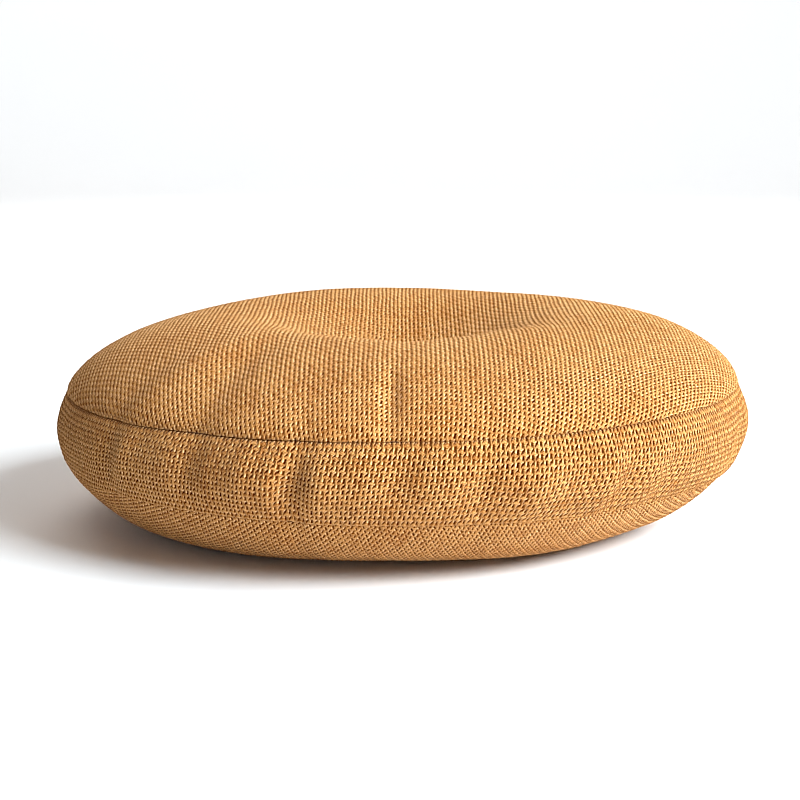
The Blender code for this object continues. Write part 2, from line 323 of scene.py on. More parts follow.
def outward(bearing):
    """The level direction straight out from the middle."""
    angle = np.radians(bearing)
    return np.stack([np.sin(angle), -np.cos(angle), np.zeros_like(angle)], -1)


def top_surface(reach, bearing):
    """The top panel's face: reach 1 is the seam and 0 the middle."""
    power, flatness = CROWN_ROUNDNESS
    x, y, z = ring_point(bearing, TOP_RING, reach)
    z = z + CROWN_RISE * (1.0 - reach**power) ** flatness
    from_dimple = np.hypot(x - DIMPLE_PLACE[0], y - DIMPLE_PLACE[1])
    z = z - DIMPLE_DEPTH * np.exp(-((from_dimple / DIMPLE_RADIUS) ** 2))
    return np.stack([x, y, z], -1)


def bottom_surface(reach, bearing):
    """The bottom panel's face: it rises from the level foot up to its seam."""
    power, flatness = BELLY_ROUNDNESS
    x, y, _ = ring_point(bearing, BOTTOM_RING, reach)
    seam_height = ring_point(bearing, BOTTOM_RING, 1.0)[2]
    from_foot = np.maximum(reach - FOOT_REACH, 0.0) / (1.0 - FOOT_REACH)
    z = seam_height * (1.0 - (1.0 - from_foot**power) ** flatness)
    return np.stack([x, y, z], -1)


def band_surface(rise, bearing):
    """The side between the seams: rise 0 is the bottom seam and 1 the top one."""
    low, high = seam(bearing, BOTTOM_RING), seam(bearing, TOP_RING)
    lean = BAND_BULGE_LEAN * np.sin(np.radians(bearing))
    bulge = (BAND_BULGE + lean) * np.sin(np.pi * rise)
    return low + (high - low) * rise[..., None] + outward(bearing) * bulge[..., None]


# --- each cloth as a flat piece laid on the form -----------------------------


class Round:
    """A round cloth. Its flat coordinates are metres right and back from its middle."""

    def __init__(self, surface, face, level_at, grain):
        self.surface = surface
        self.face = face  # 1 where the face looks up and -1 where it looks down
        self.level_at = level_at  # from a reach to the swell table's level
        self.grain = grain  # degrees by which its yarns are turned
        self.reaches, self.lengths = self.meridian()
        self.size = self.lengths[-1]

    def meridian(self):
        """Distance along the cloth from its middle to each reach, as the mean of all bearings."""
        reaches = 1.0 - np.linspace(1.0, 0.0, MERIDIAN_POINTS) ** 2
        bearings = np.arange(0.0, 360.0, MERIDIAN_TURN)
        grid, bearing = np.meshgrid(reaches, bearings, indexing="ij")
        steps = np.linalg.norm(np.diff(self.surface(grid, bearing), axis=0), axis=-1)
        return reaches, np.concatenate([[0.0], np.cumsum(steps.mean(axis=1))])

    def polar(self, flat):
        """Reach, bearing and distance from the seam of flat points."""
        length = np.minimum(np.hypot(flat[..., 0], flat[..., 1]), self.size)
        reach = np.interp(length, self.lengths, self.reaches)
        bearing = np.degrees(np.arctan2(flat[..., 0], -flat[..., 1])) + self.grain
        return reach, bearing, self.size - length

    def bare(self, flat):
        """The smooth form under flat points."""
        reach, bearing, _ = self.polar(flat)
        return self.surface(reach, bearing)

    def normal(self, flat):
        """The form's outward normal at flat points."""
        return crossed(self.bare, flat, NEAR_STEP) * self.face

    def place(self, flat):
        """Level and bearing for the swell table, and the distance to the seam."""
        reach, bearing, distance = self.polar(flat)
        return self.level_at(reach), bearing, distance


class Band:
    """The side cloth. Its flat coordinates are its bearing in turns and metres above its foot."""

    def __init__(self):
        rises = np.linspace(0.0, 1.0, SECTION_POINTS)
        bearings = np.arange(0.0, 360.0, SECTION_TURN)
        rise, around = np.meshgrid(rises, bearings, indexing="ij")
        steps = np.linalg.norm(np.diff(band_surface(rise, around), axis=0), axis=-1)
        self.size = steps.sum(axis=0).mean()
        self.girth = 2.0 * math.pi * TOP_SEAM_RADIUS

    def bare(self, flat):
        """The smooth form under flat points."""
        rise = np.clip(flat[..., 1] / self.size, 0.0, 1.0)
        return band_surface(rise, flat[..., 0] * 360.0)

    def normal(self, flat):
        """The form's outward normal at flat points."""
        return crossed(self.bare, flat, NEAR_STEP / self.girth)

    def place(self, flat):
        """Level and bearing for the swell table, and the distance to the nearest seam."""
        distance = np.minimum(flat[..., 1], self.size - flat[..., 1])
        return flat[..., 1] / self.size, flat[..., 0] * 360.0, np.maximum(distance, 0.0)


def paired(first, second):
    """Pairs of the two arrays' values, spread over their common shape."""
    return np.stack(np.broadcast_arrays(first, second), -1)


def crossed(surface, flat, first_step):
    """The normal, at length 1, of a surface over flat coordinates whose first has this step."""
    first = np.array([first_step, 0.0])
    second = np.array([0.0, NEAR_STEP])
    along = surface(flat + first) - surface(flat - first)
    up = surface(flat + second) - surface(flat - second)
    normal = np.cross(along, up)
    return normal / np.linalg.norm(normal, axis=-1, keepdims=True)


def swaying(angle, share, waves, phase, sway, sway_waves, sway_phase):
    """Waves round a seam of this height, spaced unevenly by a slower sway."""
    slow = sway * np.sin(sway_waves * angle + sway_phase)
    return share * np.sin(waves * angle + slow + phase)


def pucker(bearing, distance):
    """Uneven gathers that the stitching leaves beside a seam."""
    angle = np.radians(bearing)
    wave = sum(swaying(angle, *waves) for waves in PUCKER_WAVES)
    patch = 1.0 - PATCHES[0] + swaying(angle, *PATCHES)
    start = 1.0 - np.exp(-((distance / PUCKER_START) ** 2))
    return PUCKER * wave * patch * start * np.exp(-((distance / PUCKER_REACH) ** 2))


def openness(bearing):
    """How far a seam stands open: widest at the left, and nearly closed where its cloths meet."""
    angle = np.radians(bearing)
    turn = (bearing - TIGHT_BEARING + 180.0) % 360.0 - 180.0
    spots = 1.0 - SPOTS[0] + swaying(angle, *SPOTS)
    side = SEAM_MIDDLING - (1.0 - SEAM_MIDDLING) * np.sin(angle)
    share = side * spots * (1.0 - np.exp(-((turn / TIGHT_HALF_WIDTH) ** 2)))
    return SEAM_TIGHT + (1.0 - SEAM_TIGHT) * share


def at_top(level):
    """1 at the top seam's level and 0 at the bottom seam's."""
    return np.clip(level, 0.0, 1.0)


def seam_slant(level):
    """How much further the seam at this level moves than the cloth beside it."""
    return BOTTOM_SEAM_SLANT + (TOP_SEAM_SLANT - BOTTOM_SEAM_SLANT) * at_top(level)


def seam_share(bearing, level):
    """How marked the nearest seam is: the bottom one lies close all round."""
    return SEAM_TIGHT + (openness(bearing) - SEAM_TIGHT) * at_top(level)


def form_offset(cloth, flat):
    """How far the cloth's face stands out from the smooth form, before its weave."""
    level, bearing, distance = cloth.place(flat)
    draw = BOTTOM_SEAM_DRAW + (TOP_SEAM_DRAW - BOTTOM_SEAM_DRAW) * at_top(level)
    drawn = draw * np.exp(-((distance / SEAM_DRAW_REACH) ** 2))
    roll = SEAM_ROLL * seam_share(bearing, level)
    rolled = roll * np.exp(-((distance / SEAM_ROLL_REACH) ** 2))
    return swell(bearing, level) + pucker(bearing, distance) - drawn - rolled


def back_offset(cloth, flat):
    """How far the cloth's hidden back stands out from the smooth form."""
    return form_offset(cloth, flat) - YARN_CROWN - YARN_CRIMP - CLOTH_DEPTH


def laid(cloth, flat, height):
    """Points this far out from the form, and none below the ground.

    Both cloths of a seam stand out level at it.
    """
    level, bearing, distance = cloth.place(flat)
    near = np.exp(-((distance / SEAM_LEAN_REACH) ** 2))[..., None]
    sideways = outward(bearing) * seam_slant(level)[..., None]
    direction = cloth.normal(flat) * (1.0 - near) + sideways * near
    points = cloth.bare(flat) + direction * height[..., None]
    points[..., 2] = np.maximum(points[..., 2], 0.0)
    return points


# --- the weave ---------------------------------------------------------------


def wander(warp, weft, seed):
    """Smooth stray of the yarns, in metres, as a sum of seeded waves."""
    rng = np.random.default_rng(seed)
    total = np.zeros(warp.shape)
    for _ in range(WANDER_WAVES):
        turns, pace = rng.integers(-WANDER_MOST, WANDER_MOST + 1, 2) / BAND_WARPS
        total = total + np.sin(2.0 * math.pi * (turns * warp + pace * weft + rng.uniform()))
    return YARN_WANDER * total / math.sqrt(WANDER_WAVES)


def hashed(number):
    """A repeatable fraction from 0 to 1 for each number."""
    value = np.sin(number * HASH_PACE + SEED) * HASH_SPREAD
    return value - np.floor(value)


def slub(number, along):
    """Uneven thickness of a yarn along its run, about 1."""
    fewest, most = SLUB_WAVES
    waves = np.floor(fewest + (most - fewest) * hashed(number + SLUB_COUNT_STREAM))
    wave = np.sin(2.0 * math.pi * (along * waves / BAND_WARPS + hashed(number)))
    return 1.0 + YARN_SLUB * (SLUB_SWING * wave + hashed(number + SLUB_THICKNESS_STREAM) - 0.5)


def yarn_height(across, along, sign):
    """Height of the nearest two yarns that run this way, at yarn coordinates."""
    nearest = np.floor(across - 0.5)
    heights = []
    for yarn in (nearest, nearest + 1.0):
        parity = 1.0 - 2.0 * (yarn % 2.0)
        offset = (across - yarn - 0.5) / YARN_FILL
        back = YARN_CROWN * np.sqrt(np.maximum(1.0 - offset**2, 0.0))
        rise = sign * parity * YARN_CRIMP * np.sin(np.pi * along)
        heights.append((rise + back) * slub(yarn, along))
    return np.maximum(*heights)


def relief(warp, weft):
    """Height of a plain weave at yarn coordinates, whose crossings lie at the half numbers."""
    top = np.maximum(yarn_height(warp, weft, 1.0), yarn_height(weft, warp, -1.0))
    hole = np.abs(np.cos(np.pi * warp) * np.cos(np.pi * weft)) ** HOLE_POWER
    return top - HOLE_DEPTH * hole - YARN_CROWN - YARN_CRIMP


def squeezed(warp, weft):
    """How far each point shifts, in pitches, as the yarn on top of a crossing keeps narrow."""
    sideways = np.cos(np.pi * warp) * np.sin(np.pi * weft)
    lengthways = np.sin(np.pi * warp) * np.cos(np.pi * weft)
    return YARN_SQUEEZE * np.stack([sideways, -lengthways], -1)


# --- meshes ------------------------------------------------------------------


def placed(name, data):
    """A new object in the scene."""
    thing = bpy.data.objects.new(name, data)
    bpy.context.scene.collection.objects.link(thing)
    return thing


class Patch:
    """One piece's vertices and faces, with the yarn and map coordinates of each face's corners."""

    def __init__(self):
        self.points = []
        self.faces = []
        self.yarns = []
        self.maps = []
        self.count = 0

    def add(self, points):
        """Adds vertices and returns their numbers."""
        self.points.append(points.reshape(-1, 3))
        numbers = np.arange(self.count, self.count + len(self.points[-1]))
        self.count += len(numbers)
        return numbers.reshape(points.shape[:-1])

    def take(self, numbers, yarns, maps):
        """Adds faces, given the vertex number and both coordinates of each of their corners."""
        self.faces.extend(numbers.tolist())
        self.yarns.append(yarns.reshape(-1, 2))
        self.maps.append(maps.reshape(-1, 2))

    def fill(self, numbers, yarns, maps, kept=None, flip=False):
        """Adds a face for each cell of a grid of vertices, or for each cell that is kept."""
        self.take(*(cells(grid, kept, flip) for grid in (numbers, yarns, maps)))

    def build(self, name, material):
        """Makes the object."""
        mesh = bpy.data.meshes.new(name)
        mesh.from_pydata(np.concatenate(self.points).tolist(), [], self.faces)
        for layer_name, places in (("weave", self.yarns), ("OFBake", self.maps)):
            layer = mesh.uv_layers.new(name=layer_name)
            layer.data.foreach_set("uv", np.concatenate(places).ravel().astype(np.float32))
        mesh.shade_smooth()
        mesh.materials.append(material)
        return placed(name, mesh)


def cell_corners(grid):
    """Four views of a grid, which hold one corner each of all its cells, in order round a cell."""
    return [grid[:-1, :-1], grid[1:, :-1], grid[1:, 1:], grid[:-1, 1:]]


def cells(grid, kept=None, flip=False):
    """The four corners of each cell of a grid, or of those kept, turned over if flip is true."""
    around = cell_corners(grid)
    if flip:
        around.reverse()
    found = np.stack(around, 2)
    return found.reshape(-1, *found.shape[2:]) if kept is None else found[kept]


def in_disc(flat, size, middle, half):
    """Map coordinates of a round cloth's flat points."""
    return middle + flat * (half / size)


def round_net(cloth):
    """Yarn coordinates and flat places of a net of vertices that is wider than a round cloth."""
    reach = int(cloth.size / min(WARP_PITCH, WEFT_PITCH) + 2) * ROUND_SAMPLES
    steps = np.arange(-reach, reach + 1) / ROUND_SAMPLES
    yarns = np.stack(np.meshgrid(steps, steps, indexing="ij"), -1)
    warp, weft = np.moveaxis(yarns, -1, 0)
    strays = [wander(warp, weft, SEED + axis) for axis in (0, 1)]
    flat = (yarns + squeezed(warp, weft)) * (WARP_PITCH, WEFT_PITCH) + np.stack(strays, -1)
    return yarns, flat


def cut_at_seam(cloth, yarns, flat):
    """The cells of a net that a round keeps, the vertices that they use, and both coordinates.

    What lies past the seam is pulled back onto it, and keeps its place in the weave.
    """
    length = np.hypot(flat[..., 0], flat[..., 1])
    level, bearing, _ = cloth.place(flat)
    edge = cloth.size - SEAM_GAPE * seam_share(bearing, level) / 2.0
    limit = edge - WARP_PITCH * RIM_ROOM
    inside = length < limit
    kept = np.any(cell_corners(inside), axis=0)
    touching = np.zeros(inside.shape, int)  # kept cells at each vertex, under four at the rim
    for corner in cell_corners(touching):
        corner += kept
    pull = np.where(touching < 4, edge, limit) / np.maximum(length, WARP_PITCH)
    pull = np.where(inside, 1.0, pull)[..., None]
    yarns = yarns + flat * (pull - 1.0) / (WARP_PITCH, WEFT_PITCH)
    return kept, touching > 0, yarns, flat * pull


def woven_round(name, cloth, material):
    """A round cloth as a grid of its yarns, cut at the seam and closed by a plain back."""
    kept, used, yarns, flat = cut_at_seam(cloth, *round_net(cloth))
    patch = Patch()
    height = form_offset(cloth, flat[used]) + relief(yarns[used][:, 0], yarns[used][:, 1])
    numbers = np.zeros(used.shape, int)
    numbers[used] = patch.add(laid(cloth, flat[used], height))
    maps = in_disc(flat, cloth.size, 0.5, DISC_HALF)
    patch.fill(numbers, yarns, maps, kept, flip=cloth.face < 0)
    rim = open_edge(cells(numbers, kept))
    add_back(patch, cloth, rim, flat[used][rim], yarns[used][rim])
    return patch.build(name, material)


def open_edge(faces):
    """The numbers of the vertices round the open edge of some faces, in order and closed."""
    starts, ends = faces.ravel(), np.roll(faces, -1, axis=1).ravel()
    span = faces.max() + 1
    alone = ~np.isin(starts * span + ends, ends * span + starts)
    onward = dict(zip(starts[alone].tolist(), ends[alone].tolist()))
    loop = [starts[alone][0]]
    while len(loop) <= len(onward):
        loop.append(onward[loop[-1]])
    return np.array(loop)


def add_back(patch, cloth, numbers, flat, yarns):
    """Turns a round's rim in by the cloth's depth and closes it behind with plain rings."""
    shares = np.array((1.0,) + BACK_SHARES)[:, None, None]
    rings = flat * shares
    behind = patch.add(laid(cloth, rings, back_offset(cloth, rings))[1:, :-1])
    grid = np.vstack([numbers[None], np.hstack([behind, behind[:, :1]])])
    rings[0] *= BACK_RIM  # the wall at the rim lies outside the back in the map
    maps = in_disc(rings, cloth.size, BACK_MIDDLE, BACK_HALF)
    patch.fill(grid, yarns * shares, maps, flip=cloth.face < 0)
    middle = patch.add(laid(cloth, np.zeros((1, 2)), np.array([-CLOTH_DEPTH])))
    fan = [np.full(len(numbers) - 1, middle[0]), grid[-1, 1:], grid[-1, :-1]]
    if cloth.face < 0:
        fan.reverse()
    closing = np.stack(fan, 1)
    patch.take(closing, np.zeros((*closing.shape, 2)), np.full((*closing.shape, 2), BACK_MIDDLE))


def band_net(cloth):
    """Yarn coordinates of the band's vertices, which run round it and then up it."""
    picks = int(round(cloth.size / WEFT_PITCH * BAND_SAMPLES))
    warp = np.arange(BAND_WARPS * BAND_SAMPLES + 1) / BAND_SAMPLES
    weft = np.linspace(0.0, cloth.size / WEFT_PITCH, picks + 1) + BAND_PHASE
    return np.stack(np.meshgrid(warp, weft, indexing="ij"), -1)


def band_places(cloth, yarns):
    """Flat places of the band's woven face and of its plain back."""
    warp, weft = np.moveaxis(yarns, -1, 0)
    shift = squeezed(warp, weft)
    turn = warp + shift[..., 0] + wander(warp, weft, SEED) / WARP_PITCH
    stray = wander(warp, weft, SEED + 1) + shift[..., 1] * WEFT_PITCH
    share = np.linspace(0.0, 1.0, yarns.shape[1])
    edge = SEAM_GAPE * seam_share(turn / BAND_WARPS * 360.0, share) / 2.0
    foot = edge[:, :1]
    span = cloth.size - foot - edge[:, -1:]
    rise = foot + span * share + stray * np.sqrt(np.sin(np.pi * share))
    front = np.stack([turn / BAND_WARPS, rise], -1)
    return front, paired(front[:, :1, 0], foot + span * np.array(BACK_RISES))


def woven_band(name, cloth, material):
    """The band as a grid of its yarns with a plain back."""
    yarns = band_net(cloth)
    flat, behind = band_places(cloth, yarns)
    patch = Patch()
    height = form_offset(cloth, flat) + relief(yarns[..., 0], yarns[..., 1])
    front = closed_loop(patch.add(laid(cloth, flat, height)[:-1]))
    back = closed_loop(patch.add(laid(cloth, behind, back_offset(cloth, behind))[:-1]))
    back = np.hstack([front[:, :1], back, front[:, -1:]])
    add_band_faces(patch, front, back, yarns)
    return patch.build(name, material)


def add_band_faces(patch, front, back, yarns):
    """Adds the band's faces, with its length folded into rows of its map."""
    columns = len(front) - 1
    turn = np.arange(columns + 1)[:, None] / columns
    up_front = np.linspace(0.0, 1.0, front.shape[1])
    up_back = np.linspace(0.0, 1.0, back.shape[1])
    for row in range(BAND_ROWS):
        span = stretch(columns, row, BAND_ROWS)
        maps = band_map(turn[span], up_front, row, ROW_MARGIN, ROW_WIDTH)
        patch.fill(front[span], yarns[span], maps)
        maps = band_map(turn[span], up_back, row, BACK_ROW_LEFT, BACK_ROW_WIDTH)
        patch.fill(back[span], paired(turn[span] * BAND_WARPS, up_back), maps, flip=True)


def band_map(turn, share, row, left, width):
    """Map coordinates of a stretch of the band that lies in this row of its map."""
    along = left + (turn * BAND_ROWS - row) * width
    return paired(along, ROW_MARGIN + row * ROW_PITCH + share * ROW_HEIGHT)


def stretch(count, row, rows):
    """Which of a long grid's vertices lie in this row, where so many cells are cut into rows."""
    return slice(count * row // rows, count * (row + 1) // rows + 1)


def closed_loop(numbers):
    """A grid of vertex numbers that ends with its first row again."""
    return np.vstack([numbers, numbers[:1]])


def thread_surface(ring):
    """Points round a seam's thread, which lies behind the two cloths' edges and is nipped."""
    count = STITCHES * STITCH_SAMPLES
    bearing = np.arange(count) * 360.0 / count
    sides = np.arange(THREAD_SIDES) * 2.0 * math.pi / THREAD_SIDES
    drawn = TOP_SEAM_DRAW + SEAM_ROLL * openness(bearing) + YARN_CROWN + YARN_CRIMP
    depth = drawn + CLOTH_DEPTH + THREAD_RADIUS + THREAD_ROOM
    middle = seam(bearing, ring) - outward(bearing) * depth[:, None]
    nip = 1.0 - THREAD_NIP * (0.5 + 0.5 * np.cos(2.0 * np.pi * np.arange(count) / STITCH_SAMPLES))
    side = outward(bearing)[:, None] * np.cos(sides)[:, None]
    side = side + np.array([0.0, 0.0, 1.0]) * np.sin(sides)[:, None]
    return middle[:, None] + side * (THREAD_RADIUS * nip[:, None, None])


def seam_thread(name, ring, material):
    """The seam's own thread, with its length folded into rows of its map."""
    patch = Patch()
    numbers = closed_loop(patch.add(thread_surface(ring)))
    numbers = np.hstack([numbers, numbers[:, :1]])
    count = len(numbers) - 1
    along = np.arange(count + 1)[:, None] / STITCH_SAMPLES
    around = np.arange(THREAD_SIDES + 1) / THREAD_SIDES
    yarns = paired(along, around)
    for row in range(THREAD_ROWS):
        span = stretch(count, row, THREAD_ROWS)
        across = (row + THREAD_ROW_FILL * around) / THREAD_ROWS
        onward = along[span] * THREAD_ROWS / STITCHES - row
        maps = paired(onward * THREAD_ROW_FILL, across)
        patch.fill(numbers[span], yarns[span], maps)
    return patch.build(name, material)


# --- materials ---------------------------------------------------------------


class Wiring:
    """A material's nodes. Each value given to them is a socket or a plain number or colour."""

    def __init__(self, name):
        self.material = bpy.data.materials.new(name)
        self.material.use_nodes = True
        self.tree = self.material.node_tree
        self.shader = self.tree.nodes["Principled BSDF"]

    def node(self, kind, inputs=(), **settings):
        """Adds a node, sets its properties and joins or sets its inputs; returns its outputs."""
        node = self.tree.nodes.new("ShaderNode" + kind)
        for key, value in settings.items():
            setattr(node, key, value)
        for key, value in dict(inputs).items():
            self.join(value, node.inputs[key])
        return node.outputs

    def join(self, value, socket):
        """Links a socket, or sets it where the value is a plain number, vector or colour."""
        if isinstance(value, bpy.types.NodeSocket):
            self.tree.links.new(value, socket)
        else:
            socket.default_value = value

    def finish(self, inputs):
        """Joins or sets the shader's inputs; returns the material."""
        for name, value in inputs.items():
            self.join(value, self.shader.inputs[name])
        return self.material

    def math(self, operation, *values):
        """A Math node."""
        return self.node("Math", dict(enumerate(values)), operation=operation)[0]

    def blend(self, share, first, second):
        """A number between two numbers."""
        inputs = {"Factor": share, "A": first, "B": second}
        return self.node("Mix", inputs)["Result"]

    def tint(self, share, first, second):
        """A colour between two colours."""
        one, other, mixed = COLOUR_SOCKETS
        inputs = {"Factor": share, one: first, other: second}
        return self.node("Mix", inputs, data_type="RGBA")[mixed]

    def smooth(self, value, low, high, at_low=0.0, at_high=1.0):
        """A smooth step from one value to another."""
        inputs = {"Value": value, "From Min": low, "From Max": high}
        inputs.update({"To Min": at_low, "To Max": at_high})
        return self.node("MapRange", inputs, interpolation_type="SMOOTHSTEP")["Result"]

    def vector(self, x, y, z=0.0):
        """A vector from its parts."""
        return self.node("CombineXYZ", {"X": x, "Y": y, "Z": z})["Vector"]

    def noise(self, vector, scale):
        """Smooth noise, from 0 to 1."""
        inputs = {"Vector": vector, "Scale": scale, "Detail": NOISE_DETAIL}
        return self.node("TexNoise", inputs)[0]

    def bump(self, height, distance):
        """Normals of a relief of this height, from 0 to 1, over a distance in metres."""
        inputs = {"Height": height, "Distance": distance, "Strength": 1.0}
        return self.node("Bump", inputs)["Normal"]

    def speckle(self, x, y, z=0.0):
        """A random fraction for each whole-numbered place."""
        inputs = {"Vector": self.vector(x, y, z)}
        return self.node("TexWhiteNoise", inputs, noise_dimensions="3D")["Value"]


class Weave:
    """Where a point lies in the plain weave, as node sockets."""

    def __init__(self, wiring):
        coordinates = wiring.node("UVMap", uv_map="weave")[0]
        warp, weft, _ = wiring.node("SeparateXYZ", {"Vector": coordinates})
        self.wiring = wiring
        self.warp, self.weft = warp, weft
        self.column = wiring.math("FLOOR", warp)
        self.row = wiring.math("FLOOR", weft)
        self.warp_on_top = self.odd(wiring.math("ADD", self.column, self.row), flip=True)
        self.from_warp = self.from_middle(warp, self.column)
        self.from_weft = self.from_middle(weft, self.row)
        self.across = wiring.blend(self.warp_on_top, self.from_weft, self.from_warp)
        self.along = wiring.blend(self.warp_on_top, self.from_warp, self.from_weft)

    def odd(self, number, flip=False):
        """1 where a whole number is odd and 0 where it is even, or the other way about."""
        halves = self.wiring.math("MULTIPLY", number, 0.5)
        odd = self.wiring.math("MULTIPLY", self.wiring.math("FRACT", halves), 2.0)
        return self.wiring.math("SUBTRACT", 1.0, odd) if flip else odd

    def from_middle(self, value, whole):
        """Signed distance from the middle of a yarn, in pitches."""
        return self.wiring.math("SUBTRACT", self.wiring.math("SUBTRACT", value, whole), 0.5)

    def slits(self):
        """Masks of the painted shade in the slits at the corners of the crossings, of their sunken
        edges and of the painted highlights on their lips.
        """
        wiring = self.wiring
        column = wiring.math("ROUND", self.warp)
        row = wiring.math("ROUND", self.weft)
        size = wiring.math("MULTIPLY_ADD", wiring.speckle(column, row), SLIT_SPREAD, SLIT_LEAST)
        x = wiring.math("DIVIDE", wiring.math("SUBTRACT", self.warp, column), size)
        y = wiring.math("DIVIDE", wiring.math("SUBTRACT", self.weft, row), size)
        across = turned(wiring, x, y, math.cos(SLIT_LEAN), math.sin(SLIT_LEAN))
        along = turned(wiring, x, y, -math.sin(SLIT_LEAN), math.cos(SLIT_LEAN))
        reach = self.oval(across, along, *SLIT_HALF)
        shadow = wiring.speckle(column, row, YARN_STREAM)
        shadow = wiring.math("MULTIPLY_ADD", shadow, SHADOW_SPREAD, SHADOW_LEAST)
        slit_shade = wiring.smooth(reach, SLIT_SOFTNESS, 1.0, shadow, 0.0)
        well = wiring.smooth(reach, *WELL_EDGES, 1.0, 0.0)
        # where the painted highlight beside the slits lies
        beside = self.oval(wiring.math("ADD", across, LIP_OFFSET), along, *LIP_HALF)
        return slit_shade, well, wiring.smooth(beside, LIP_SOFTNESS, 1.0, 1.0, 0.0)

    def oval(self, x, y, half_width, half_length):
        """Distance from an oval's middle, 1 at its edge."""
        wiring = self.wiring
        x = wiring.math("DIVIDE", x, half_width)
        y = wiring.math("DIVIDE", y, half_length)
        both = wiring.math("MULTIPLY_ADD", x, x, wiring.math("MULTIPLY", y, y))
        return wiring.math("SQRT", both)

    def crest_highlights(self):
        """Where the painted highlight goes: 1 on the middle of each crossing, fading sooner to its
        sides than up and down.
        """
        reach = self.oval(self.from_warp, self.from_weft, *CREST_HALF)
        return self.wiring.smooth(reach, CREST_SOFTNESS, 1.0, 1.0, 0.0)


def turned(wiring, x, y, x_share, y_share):
    """The sum of x and y in these shares."""
    return wiring.math("MULTIPLY_ADD", x, x_share, wiring.math("MULTIPLY", y, y_share))


def woven_cloth(name, roundness):
    """Camel cloth: uneven yarns this round, with painted shade in and beside the slits, painted
    highlights and a fine twist.
    """
    wiring = Wiring(name)
    weave = Weave(wiring)
    slit_shade, well, lip_highlight = weave.slits()
    fibres = wiring.noise(fibre_place(wiring, weave), FIBRE_SCALE)
    colour = yarn_colour(wiring, weave, yarn_tone(wiring, weave, fibres, lip_highlight))
    # painted shade on the sunken cloth beside the slits
    colour = wiring.tint(wiring.math("MULTIPLY", well, WELL_SHADE_SHARE), colour, FLANK_SHADE_COLOUR)
    # painted shade in the slits themselves
    colour = wiring.tint(slit_shade, colour, SLIT_SHADE)
    inputs = {
        "Base Color": colour,
        "Roughness": wiring.smooth(fibres, *FIBRE_RANGE, *ROUGHNESS_SPAN),
        "Sheen Weight": CLOTH_SHEEN,
        "Sheen Tint": CLOTH_SHEEN_TINT,
        "Sheen Roughness": CLOTH_SHEEN_ROUGHNESS,
        "Specular IOR Level": CLOTH_GLOSS,
        "Normal": cloth_bump(wiring, weave, roundness, well, fibres),
    }
    return wiring.finish(inputs)


def yarn_tone(wiring, weave, fibres, lip_highlight):
    """How light the yarns are: each by itself, at each crossing and in broad patches, with painted
    highlights on their tops and beside the slits.
    """
    place = wiring.node("TexCoord")["Object"]
    weft_tone = wiring.speckle(weave.row, YARN_STREAM)
    warp_tone = wiring.speckle(weave.column, -YARN_STREAM)
    yarn = wiring.blend(weave.warp_on_top, weft_tone, warp_tone)
    crossing = wiring.speckle(weave.column, weave.row, YARN_STREAM)
    patches = wiring.noise(place, PATCH_SCALE)
    tone = BASE_TONE
    for part, weight in zip((yarn, crossing, fibres, patches), TONE_WEIGHTS):
        swing = wiring.math("SUBTRACT", part, 0.5)
        tone = wiring.math("MULTIPLY_ADD", swing, weight, tone)
    # painted highlight on the yarns' tops
    tone = wiring.math("MULTIPLY_ADD", weave.crest_highlights(), CREST_HIGHLIGHT, tone)
    # painted highlight beside the slits
    return wiring.math("MULTIPLY_ADD", lip_highlight, LIP_HIGHLIGHT, tone)


def yarn_colour(wiring, weave, tone):
    """The yarns' colour at this tone, with painted shade on their flanks."""
    colour = wiring.tint(wiring.smooth(tone, 0.0, MIDDLE_TONE), YARN_DARK, YARN_MID)
    colour = wiring.tint(wiring.smooth(tone, MIDDLE_TONE, 1.0), colour, YARN_LIGHT)
    # painted shade on the yarns' flanks
    side = wiring.smooth(wiring.math("ABSOLUTE", weave.across), FLANK_START, 0.5)
    return wiring.tint(wiring.math("MULTIPLY", side, FLANK_SHADE), colour, FLANK_SHADE_COLOUR)


def fibre_place(wiring, weave):
    """Noise coordinates that run quickly across the yarn on top and slowly along it."""
    across_warp = wiring.math("MULTIPLY", weave.warp, FIBRES_ACROSS)
    across_weft = wiring.math("MULTIPLY", weave.weft, FIBRES_ACROSS)
    on_warp = wiring.vector(across_warp, weave.weft, YARN_STREAM)
    on_weft = wiring.vector(weave.warp, across_weft, -YARN_STREAM)
    one, other, mixed = VECTOR_SOCKETS
    inputs = {"Factor": weave.warp_on_top, one: on_weft, other: on_warp}
    return wiring.node("Mix", inputs, data_type="VECTOR")[mixed]


def cloth_bump(wiring, weave, roundness, well, fibres):
    """Normals of the yarns' round backs, their twist and the slits."""
    across = wiring.math("MULTIPLY", weave.across, 2.0)
    back = wiring.math("SUBTRACT", 1.0, wiring.math("MULTIPLY", across, across))
    lay = turned(wiring, weave.across, weave.along, TWIST_ACROSS, TWIST_ALONG)
    twist = wiring.math("SINE", lay)
    height = wiring.math("MULTIPLY", back, roundness)
    for part, weight in ((twist, BUMP_TWIST), (fibres, BUMP_FIBRE), (well, -BUMP_WELL)):
        height = wiring.math("MULTIPLY_ADD", part, weight, height)
    return wiring.bump(height, BUMP_DISTANCE)


